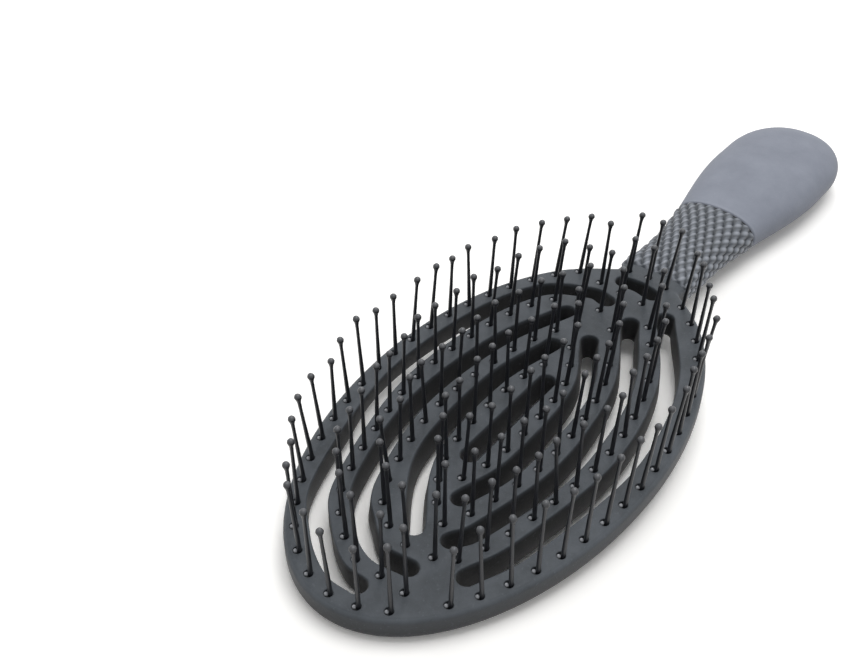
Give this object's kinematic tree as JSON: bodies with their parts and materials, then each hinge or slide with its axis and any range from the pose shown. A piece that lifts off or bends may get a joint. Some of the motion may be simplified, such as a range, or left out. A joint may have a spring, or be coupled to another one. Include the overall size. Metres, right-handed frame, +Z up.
{
  "type": "hair grooming brush",
  "caption": "Vented oval hair brush: curved ribs between winding slots, ball-tipped pins, a textured neck and a smooth spoon-shaped grip.",
  "frame": {"origin": "below the middle of the bounding box, at the height of the lowest point, the grip's underside", "axes": "+X along the brush towards the tip of the head, +Y across it, +Z up along the pins"},
  "size_m": [0.2242, 0.071, 0.0333],
  "materials": {
    "slate_moulding": "matte dark slate-grey moulding with a soft touch",
    "slate_back": "matte dark slate-grey back plate",
    "textured_sleeve": "matte slate-grey sleeve moulded with staggered oblong bumps",
    "soft_grip": "smooth matte bluish-grey soft-touch surface",
    "black_nylon": "glossy black nylon"
  },
  "bodies": {
    "root": {"handle_grip": "soft_grip", "head_back": "slate_back", "head_frame": "slate_moulding", "neck_sleeve": "textured_sleeve", "pins_neck_01": "black_nylon", "pins_rib_2_far_01": "black_nylon", "pins_rib_2_far_02": "black_nylon", "pins_rib_2_far_03": "black_nylon", "pins_rib_2_near_01": "black_nylon", "pins_rib_2_near_02": "black_nylon", "pins_rib_2_near_03": "black_nylon", "pins_rib_2_near_04": "black_nylon", "pins_rib_3_far_01": "black_nylon", "pins_rib_3_far_02": "black_nylon", "pins_rib_3_far_03": "black_nylon", "pins_rib_3_near_01": "black_nylon", "pins_rib_3_near_02": "black_nylon", "pins_rib_3_near_03": "black_nylon", "pins_rib_4_far_01": "black_nylon", "pins_rib_4_far_02": "black_nylon", "pins_rib_4_near_01": "black_nylon", "pins_rib_4_near_02": "black_nylon", "pins_rim_far_01": "black_nylon", "pins_rim_far_02": "black_nylon", "pins_rim_far_03": "black_nylon", "pins_rim_far_04": "black_nylon", "pins_rim_near_01": "black_nylon", "pins_rim_near_02": "black_nylon", "pins_rim_near_03": "black_nylon", "pins_rim_near_04": "black_nylon", "pins_throat_01": "black_nylon"}
  },
  "joints": []
}
